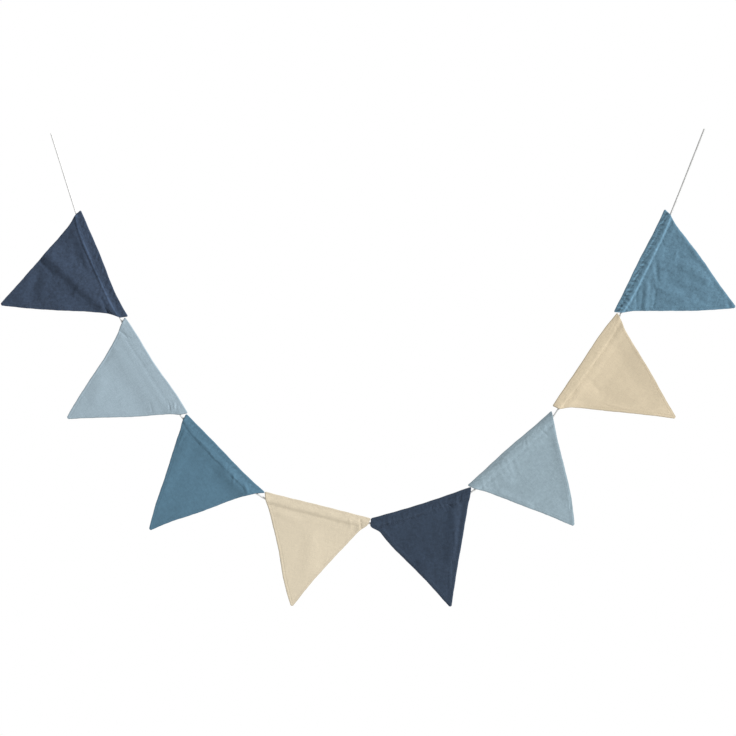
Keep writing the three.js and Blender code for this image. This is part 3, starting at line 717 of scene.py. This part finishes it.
def grid_rows(pennant):
    """The rows of one pennant's cloth, from the strip's end over the fold and down to the tip."""
    end = pennant.channel + STRIP_END
    turn = FOLD_RADIUS * (1 - np.cos(np.linspace(0, math.pi / 2, FOLD_ROWS)))
    strip = np.linspace(end, FOLD_RADIUS, STRIP_ROWS)[:-1]
    channel = np.linspace(FOLD_RADIUS, end, CHANNEL_ROWS)[1:]
    last = pennant.drop - TIP_ROUND
    blade = np.linspace(end, last, BLADE_ROWS)[1:]
    tip = pennant.drop - TIP_ROUND * (1 - np.sin(np.linspace(0, TIP_TURN, TIP_ROWS)[1:]))
    v = np.concatenate([strip, turn[::-1], turn[1:], channel, blade, tip])
    behind = np.arange(len(v)) < len(strip) + FOLD_ROWS - 1
    return v, behind


def cloth_surface(shape):
    """The middle surface of the cloth as a grid of points, with its half thickness, its wear and its painted
    highlights and shade.
    """
    pennant = shape.pennant
    rows, behind = grid_rows(pennant)
    share = np.linspace(-1, 1, COLUMNS)
    share = 0.5 + 0.5 * np.sign(share) * (1 - (1 - np.abs(share)) ** COLUMN_CROWDING)
    share, rows = np.meshgrid(share, rows, indexing="ij")
    sag = waves(pennant.fold, share) + FOLD_RIPPLE * np.sin(share * FOLD_RIPPLES + pennant.number)
    sag = sag * np.clip(1 - rows / pennant.channel, 0, 1)
    v = rows + sag
    left, right = shape.edges(rows)
    inset = np.where(behind, STRIP_INSET, 0.0)
    u = left + inset + (right - left - 2 * inset) * share
    turn = np.clip((FOLD_RADIUS - rows) / FOLD_RADIUS, 0, 1)
    round_part = np.sqrt(np.clip(1 - turn**2, 0, 1))
    front, back = shape.front(u, v), shape.back(u, v)
    middle = (front + back) / 2
    at_turn = rows < FOLD_RADIUS
    side = np.where(behind, -1.0, 1.0)
    w = np.where(behind, back, front)
    w = np.where(at_turn, middle + side * (front - back) / 2 * round_part, w)
    return u, v, w, shape.half(u, v), shape.wear_and_painted_light(u, v)


def normals_of(points):
    along = np.gradient(points, axis=0)
    down = np.gradient(points, axis=1)
    normal = np.cross(down, along)
    return normal / np.maximum(np.linalg.norm(normal, axis=-1, keepdims=True), TINY)


def new_object(name, data):
    made = bpy.data.objects.new(name, data)
    bpy.context.scene.collection.objects.link(made)
    return made


def new_mesh(name, points, faces, material):
    mesh = bpy.data.meshes.new(name)
    mesh.from_pydata(points.tolist(), [], faces.tolist())
    mesh.polygons.foreach_set("use_smooth", [True] * len(mesh.polygons))
    mesh.materials.append(material)
    mesh.update()
    return new_object(name, mesh)


def border(columns, rows):
    """The grid's border, once round, as indices into it."""
    index = np.arange(columns * rows).reshape(columns, rows)
    return np.concatenate([index[:, 0], index[-1, 1:], index[-2::-1, -1], index[0, -2:0:-1]])


def cloth_piece(shape, material):
    """The doubled cloth as a closed sheet with a rounded rim."""
    u, v, w, half, wear_and_painted_light = cloth_surface(shape)
    middle = shape.world(u, v, w)
    normal = normals_of(middle)
    columns, rows = u.shape
    edge = border(columns, rows)
    thin = np.ones((columns, rows))
    thin.flat[edge] = RIM_THIN
    offset = normal * (half * thin * MM)[..., None]
    skins = [(middle + offset).reshape(-1, 3), (middle - offset).reshape(-1, 3)]
    inner = np.zeros_like(middle)
    inner[0], inner[-1] = middle[0] - middle[1], middle[-1] - middle[-2]
    inner[1:-1, 0], inner[1:-1, -1] = middle[1:-1, 0] - middle[1:-1, 1], middle[1:-1, -1] - middle[1:-1, -2]
    away = inner.reshape(-1, 3)[edge]
    away /= np.maximum(np.linalg.norm(away, axis=1, keepdims=True), TINY)
    rim = middle.reshape(-1, 3)[edge] + away * RIM * MM
    count = columns * rows
    points = np.vstack([*skins, rim])
    index = np.arange(count).reshape(columns, rows)
    a, b, c, d = index[:-1, :-1], index[1:, :-1], index[1:, 1:], index[:-1, 1:]
    one = np.stack([a, d, c, b], -1).reshape(-1, 4)
    other = np.stack([a, b, c, d], -1).reshape(-1, 4) + count
    ring = np.arange(len(edge)) + 2 * count
    after = np.roll(np.arange(len(edge)), -1)
    top = np.stack([edge, edge[after], ring[after], ring], -1)
    low = np.stack([ring, ring[after], edge[after] + count, edge + count], -1)
    piece = new_mesh(shape.pennant.node + "_cloth", points, np.vstack([one, other, top, low]), material)
    # The cloth's wear with its painted highlights and painted shade, kept on the mesh for the material
    wear_and_painted_light_values = np.concatenate([wear_and_painted_light.ravel(), wear_and_painted_light.ravel(), wear_and_painted_light.flat[edge]])
    piece.data.attributes.new("wear_and_painted_light", "FLOAT", "POINT").data.foreach_set("value", wear_and_painted_light_values)
    return piece


def stitches_along(shape, u, v, skin, outward):
    """Thread stitches along a path on one face of the cloth: their rings of points."""
    steps = np.hypot(np.diff(u), np.diff(v))
    length = np.concatenate([[0], np.cumsum(steps)])
    count = int(length[-1] / STITCH_PITCH)
    starts = np.arange(count) * STITCH_PITCH + shape.random.uniform(0, STITCH_SHIFT, count)
    at = starts[:, None] + np.linspace(0, STITCH_LENGTH, len(THREAD_HEIGHTS))[None]
    stitch_u, stitch_v = np.interp(at, length, u), np.interp(at, length, v)
    lean = shape.random.uniform(-STITCH_LEAN, STITCH_LEAN, (count, 1))
    lean = lean * np.linspace(-1, 1, len(THREAD_HEIGHTS))
    way_u, way_v = np.gradient(stitch_u, axis=1), np.gradient(stitch_v, axis=1)
    size = np.maximum(np.hypot(way_u, way_v), TINY)
    cross_u, cross_v = -way_v / size, way_u / size
    stitch_u, stitch_v = stitch_u + cross_u * lean, stitch_v + cross_v * lean
    pressed = 0 if shape.looks.groove else THREAD_PRESSED
    height = skin(stitch_u, stitch_v) + outward * (np.array(THREAD_HEIGHTS) - pressed)
    angle = np.arange(THREAD_SIDES) / THREAD_SIDES * 2 * math.pi
    radius = THREAD_RADIUS * np.array(THREAD_WIDTHS)[None, :, None]
    ring_u = stitch_u[..., None] + cross_u[..., None] * np.cos(angle) * radius
    ring_v = stitch_v[..., None] + cross_v[..., None] * np.cos(angle) * radius
    ring_w = height[..., None] + np.sin(angle) * radius * outward
    return shape.world(ring_u, ring_v, ring_w)


def thread_piece(shape, material):
    """All the sewing of one pennant as one joined mesh."""
    pennant = shape.pennant

    def front_skin(u, v):
        return shape.front(u, v) + shape.half(u, v)

    def strip_skin(u, v):
        return shape.back(u, v) - shape.half(u, v)

    def back_skin(u, v):
        return shape.front(u, v) - shape.half(u, v)

    seam = pennant.channel + SEAM_WANDER * np.sin(np.linspace(0, SEAM_TURNS, SEAM_SAMPLES) + pennant.number)
    left, right = shape.edges(seam)
    reach = right - left - 2 * SEAM_FROM_EDGE
    along = left + SEAM_FROM_EDGE + reach * np.linspace(0, 1, SEAM_SAMPLES)
    runs = [
        stitches_along(shape, along, seam, front_skin, 1),
        stitches_along(shape, along, seam, strip_skin, -1),
    ]
    down = np.linspace(pennant.channel + SEAM_BELOW_CHANNEL, pennant.drop - SEAM_TO_TIP, SEAM_SAMPLES)
    left, right = shape.edges(down)
    left_slant, right_slant = (side / pennant.drop for side in shape.side_lengths())
    for edge in (left + EDGE_SEAM * left_slant, right - EDGE_SEAM * right_slant):
        runs.append(stitches_along(shape, edge, down, front_skin, 1))
        runs.append(stitches_along(shape, edge, down, back_skin, -1))
    rings = np.concatenate(runs)
    count, stations, sides, _ = rings.shape
    index = np.arange(count * stations * sides).reshape(count, stations, sides)
    after = np.roll(index, -1, axis=2)
    quads = np.stack([index[:, :-1], after[:, :-1], after[:, 1:], index[:, 1:]], -1)
    piece = new_mesh(pennant.node + "_sewing", rings.reshape(-1, 3), quads.reshape(-1, 4), material)
    return close_ends(piece)


def close_ends(piece):
    """Closes the open ends of tubes and turns all faces outward."""
    mesh = bmesh.new()
    mesh.from_mesh(piece.data)
    bmesh.ops.holes_fill(mesh, edges=[e for e in mesh.edges if e.is_boundary], sides=0)
    bmesh.ops.recalc_face_normals(mesh, faces=mesh.faces)
    mesh.to_mesh(piece.data)
    mesh.free()
    return piece


def cord_piece(material):
    """Three strands twisted together, as one tube with three turning lobes along the cord's route."""
    line, length = resampled(CORD_LINE, CORD_STEP)
    along = np.linspace(0, length, len(line))
    forward = np.gradient(line, axis=0)
    forward /= np.linalg.norm(forward, axis=1, keepdims=True)
    side = np.tile([0.0, 1.0, 0.0], (len(line), 1))
    up = np.cross(forward, side)
    turn = along / TWIST_PITCH * 2 * math.pi + TWIST_DRIFT * np.sin(along / TWIST_DRIFT_LENGTH)
    angle = np.arange(CORD_SIDES) / CORD_SIDES * 2 * math.pi
    lobe = 2 * math.pi / STRANDS
    from_strand = (angle[None] - turn[:, None] + lobe / 2) % lobe - lobe / 2
    orbit = CORD_DIAMETER / 2 - STRAND_RADIUS
    radius = orbit * np.cos(from_strand) + np.sqrt(STRAND_RADIUS**2 - (orbit * np.sin(from_strand)) ** 2)
    radius = radius * (1 + wavy(along, CORD_SWELLS, 0))[:, None]
    across = side[:, None] * np.cos(angle)[:, None] + up[:, None] * np.sin(angle)[:, None]
    rings = line[:, None] + across * radius[..., None]
    index = np.arange(rings.size // 3).reshape(rings.shape[:2])
    after = np.roll(index, -1, axis=1)
    quads = np.stack([index[:-1], after[:-1], after[1:], index[1:]], -1)
    piece = new_mesh("twisted_cord", rings.reshape(-1, 3), quads.reshape(-1, 4), material)
    return close_ends(piece), line, length


# Materials


def linear(red, green, blue):
    """A colour as a screen shows it, turned into light."""
    shown = np.array([red, green, blue]) / 255
    light = np.where(shown <= 0.04045, shown / 12.92, ((shown + 0.055) / 1.055) ** 2.4)
    return (*light.tolist(), 1.0)


class Nodes:
    """Short calls for building a material's nodes."""

    def __init__(self, name):
        self.material = bpy.data.materials.new(name)
        self.material.use_nodes = True
        self.tree = self.material.node_tree
        self.shader = self.tree.nodes["Principled BSDF"]

    def add(self, kind, given=None, **settings):
        """A new node, with what its inputs are given."""
        node = self.tree.nodes.new(kind)
        for key, value in settings.items():
            setattr(node, key, value)
        for name, value in (given or {}).items():
            self.fill(node.inputs[name], value)
        return node

    def fill(self, socket, value):
        """Gives an input a fixed value or another node's output."""
        if isinstance(value, (int, float, tuple)):
            socket.default_value = value
        else:
            self.tree.links.new(value, socket)

    def give(self, name, value):
        self.fill(self.shader.inputs[name], value)

    def mapped(self, tilt=0, scale=(1, 1, 1)):
        place = self.add("ShaderNodeTexCoord")
        given = {"Vector": place.outputs["Object"], "Rotation": (0, math.radians(tilt), 0)}
        turned = self.add("ShaderNodeMapping", given)
        sized = self.add("ShaderNodeMapping", {"Vector": turned.outputs["Vector"], "Scale": scale})
        return sized.outputs["Vector"]

    def noise(self, vector, scale, detail, roughness=0.55):
        given = {"Vector": vector, "Scale": scale, "Detail": detail, "Roughness": roughness}
        return self.add("ShaderNodeTexNoise", given).outputs["Fac"]

    def math(self, operation, first, second):
        node = self.add("ShaderNodeMath", operation=operation)
        for socket, value in zip(node.inputs, (first, second)):
            self.fill(socket, value)
        return node.outputs["Value"]

    def remap(self, value, low, high, to_low, to_high):
        given = {"Value": value, "From Min": low, "From Max": high, "To Min": to_low, "To Max": to_high}
        return self.add("ShaderNodeMapRange", given).outputs["Result"]

    def mix(self, factor, first, second):
        node = self.add("ShaderNodeMix", data_type="RGBA")
        sockets = [s for s in node.inputs if s.type == "RGBA"]
        for socket, value in zip([node.inputs[0], *sockets], (factor, first, second)):
            self.fill(socket, value)
        return next(s for s in node.outputs if s.type == "RGBA")

    def bump(self, height, strength, distance, before=None):
        given = {"Height": height, "Strength": strength, "Distance": distance}
        if before is not None:
            given["Normal"] = before
        return self.add("ShaderNodeBump", given).outputs["Normal"]


def scaled(colour, share):
    return (*(min(part * share, PALEST) for part in colour[:3]), 1.0)


def cotton(name, looks, tilt):
    """Plain-weave cotton: threads across and down, slubs, soft mottling, rubbed edges, and the painted
    highlights and painted shade that the mesh carries.
    """
    base = linear(*looks.colour)
    lighter = min(MOST_LIGHT, PALEST / max(base[:3]))
    darker = (1 - MIDDLE * lighter) / (1 - MIDDLE)
    nodes = Nodes(name)
    plain = nodes.mapped(tilt)
    scale = 2 * math.pi / WAVE_TURN / WEAVE_PITCH
    given = {"Vector": plain, "Scale": scale, "Distortion": WEAVE_UNEVEN, "Detail": 1}
    bands = []
    for direction in "XZ":
        wave = nodes.add("ShaderNodeTexWave", given, wave_type="BANDS", bands_direction=direction)
        bands.append(wave.outputs["Fac"])
    weave = nodes.math("MULTIPLY", *bands)
    slub_down = nodes.noise(nodes.mapped(tilt, SLUBS_DOWN), 1, detail=2)
    slub_across = nodes.noise(nodes.mapped(tilt, SLUBS_ACROSS), 1, detail=2)
    slubs = nodes.math("ADD", slub_down, slub_across)
    clouds = nodes.noise(plain, CLOUD_SCALE, detail=4, roughness=0.6)
    mottles = nodes.noise(plain, MOTTLE_SCALE, detail=3, roughness=0.6)
    fuzz = nodes.noise(plain, FUZZ_SCALE, detail=2, roughness=0.7)
    # The mesh's wear with its painted highlights and painted shade
    wear_and_painted_light_values = nodes.add("ShaderNodeAttribute", attribute_name="wear_and_painted_light")
    shade = nodes.remap(weave, 0, 1, *WEAVE_SHADES)
    for value, span, tone in (
        (slubs, SUM_SPAN, SLUB_TONE),
        (clouds, NOISE_SPAN, CLOUD_TONE * looks.mottle),
        (mottles, NOISE_SPAN, MOTTLE_TONE * looks.mottle),
        (fuzz, NOISE_SPAN, FUZZ_TONE),
    ):
        shade = nodes.math("ADD", shade, nodes.remap(value, *span, -tone / 2, tone / 2))
    shade = nodes.math("ADD", shade, wear_and_painted_light_values.outputs["Fac"])
    nodes.give("Base Color", nodes.mix(shade, scaled(base, darker), scaled(base, lighter)))
    nodes.give("Roughness", nodes.remap(slubs, *SUM_SPAN, *COTTON_ROUGHNESS))
    first = nodes.bump(weave, COTTON_BUMP, WEAVE_DEPTH)
    second = nodes.bump(slubs, COTTON_BUMP, SLUB_DEPTH, first)
    third = nodes.bump(mottles, MOTTLE_BUMP * looks.mottle, MOTTLE_DEPTH, second)
    nodes.give("Normal", third)
    nodes.give("Specular IOR Level", YARN_SHINE)
    nodes.give("Sheen Weight", 0.1)
    nodes.give("Sheen Roughness", 0.6)
    return nodes.material


def thread(name, colour):
    """Sewing thread in its cloth's colour, with fine uneven fibres."""
    base = linear(*colour)
    nodes = Nodes(name)
    plain = nodes.mapped()
    fuzz = nodes.noise(plain, THREAD_FUZZ_SCALE, detail=2, roughness=0.6)
    dark, light = (scaled(base, share) for share in THREAD_TONES)
    tone = nodes.mix(nodes.remap(fuzz, *SHARP_SPAN, 0, 1), dark, light)
    nodes.give("Base Color", tone)
    nodes.give("Normal", nodes.bump(fuzz, YARN_BUMP, THREAD_DEPTH))
    nodes.give("Roughness", nodes.remap(fuzz, *NOISE_SPAN, *THREAD_ROUGHNESS))
    return nodes.material


def cord_cotton():
    """Off-white cotton yarn with fine fibres and slightly grey hollows, that light soaks into. Towards its
    right end it is painted greyer, as painted shade.
    """
    nodes = Nodes("cotton_cord")
    plain = nodes.mapped()
    fibres = nodes.noise(plain, FIBRE_SCALE, detail=3, roughness=0.65)
    clouds = nodes.noise(plain, CORD_CLOUD_SCALE, detail=3, roughness=0.6)
    place = nodes.add("ShaderNodeSeparateXYZ", {"Vector": plain})
    # Painted shade: the cord's colour goes greyer along X, towards its right end
    along = nodes.remap(place.outputs["X"], *CORD_PAINTED_SHADE_SPAN, 0, 1)
    colour = nodes.mix(along, linear(*CORD_LEFT_COLOUR), linear(*CORD_RIGHT_PAINTED_SHADE))
    for value, span, share in (
        (fibres, SHARP_SPAN, FIBRE_SHARE),
        (clouds, CORD_CLOUD_SPAN, CORD_CLOUD_SHARE),
    ):
        colour = nodes.mix(nodes.remap(value, *span, 0, share), colour, linear(*CORD_HOLLOW_COLOUR))
    nodes.give("Base Color", colour)
    nodes.give("Roughness", nodes.remap(fibres, *NOISE_SPAN, *CORD_ROUGHNESS))
    nodes.give("Normal", nodes.bump(fibres, YARN_BUMP, FIBRE_DEPTH))
    nodes.give("Specular IOR Level", YARN_SHINE)
    nodes.give("Subsurface Weight", 1.0)
    nodes.give("Subsurface Scale", CORD_LIGHT_DEPTH)
    nodes.give("Subsurface Radius", (1.0, 1.0, 1.0))
    return nodes.material


def floor_paint():
    nodes = Nodes("pale_floor")
    grain = nodes.noise(nodes.mapped(), FLOOR_GRAIN, detail=4)
    dark, light = (linear(*colour) for colour in FLOOR_COLOURS)
    nodes.give("Base Color", nodes.mix(nodes.remap(grain, *NOISE_SPAN, 0, 1), dark, light))
    nodes.give("Roughness", 0.9)
    return nodes.material


# Camera, light and floor, and then the pieces in turn


def aim(thing, place, target):
    thing.location = place
    way = np.array(target, float) - np.array(place, float)
    length = np.linalg.norm(way)
    thing.rotation_euler = (math.acos(-way[2] / length), 0, math.atan2(way[1], way[0]) - math.pi / 2)


def make_camera():
    data = bpy.data.cameras.new("camera")
    data.sensor_width = SENSOR
    data.lens = SENSOR * CAMERA_DISTANCE / PHOTO_WIDTH
    camera = new_object("camera", data)
    centre = (VIEW_CENTRE[0], 0, VIEW_CENTRE[1])
    aim(camera, (VIEW_CENTRE[0], -CAMERA_DISTANCE, VIEW_CENTRE[1]), centre)
    bpy.context.scene.camera = camera


def sun(name, direction, strength, softness):
    """Even light from far away. direction: from the bunting to the light."""
    data = bpy.data.lights.new(name, "SUN")
    data.energy = strength
    data.angle = math.radians(softness)
    aim(new_object(name, data), direction, (0, 0, 0))


def make_light():
    """A white room: the camera sees it at full white, and it lights the cloth less than the key does."""
    world = bpy.data.worlds.new("studio")
    bpy.context.scene.world = world
    world.use_nodes = True
    tree = world.node_tree
    room = tree.nodes["Background"]
    room.inputs["Strength"].default_value = ROOM_LIGHT
    seen = tree.nodes.new("ShaderNodeBackground")
    rays = tree.nodes.new("ShaderNodeLightPath")
    mix = tree.nodes.new("ShaderNodeMixShader")
    for background in (room, seen):
        background.inputs["Color"].default_value = (1, 1, 1, 1)
    tree.links.new(rays.outputs["Is Camera Ray"], mix.inputs["Fac"])
    tree.links.new(room.outputs["Background"], mix.inputs[1])
    tree.links.new(seen.outputs["Background"], mix.inputs[2])
    tree.links.new(mix.outputs["Shader"], tree.nodes["World Output"].inputs["Surface"])
    sun("key", KEY_FROM, KEY_STRENGTH, KEY_SOFTNESS)
    sun("back_key", BACK_KEY_FROM, BACK_KEY_STRENGTH, BACK_KEY_SOFTNESS)
    bpy.context.scene.view_settings.view_transform = "Standard"


def make_floor():
    corners = np.array([(x, y, FLOOR_HEIGHT) for x, y in FLOOR_CORNERS], float)
    floor = new_mesh("floor", corners, np.array([[0, 1, 2, 3]]), floor_paint())


def cut_area(shape):
    """The flat area of one finished pennant in square metres, its folded strip with it."""
    v = np.linspace(0, shape.pennant.drop, AREA_ROWS)
    left, right = shape.edges(v)
    strip = v < shape.pennant.channel + STRIP_END
    width = (right - left) * (1 + strip)
    return float(np.sum((width[1:] + width[:-1]) / 2 * np.diff(v))) * MM * MM


make_camera()
yarn = cord_cotton()
cord, cord_path, cord_length = cord_piece(yarn)
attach(cord, "root")
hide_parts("cord")

for pennant in PENNANTS:
    shape = Shape(pennant)
    looks = shape.looks
    cloth = cloth_piece(shape, cotton(f"cotton_{pennant.number}_{pennant.slot}", looks, pennant.tilt))
    sewing = thread_piece(shape, thread(f"thread_{pennant.number}_{pennant.slot}", looks.colour))
    for piece in (cloth, sewing):
        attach(piece, "root")
    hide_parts(pennant.node)
    cut_area(shape)

make_light()
make_floor()
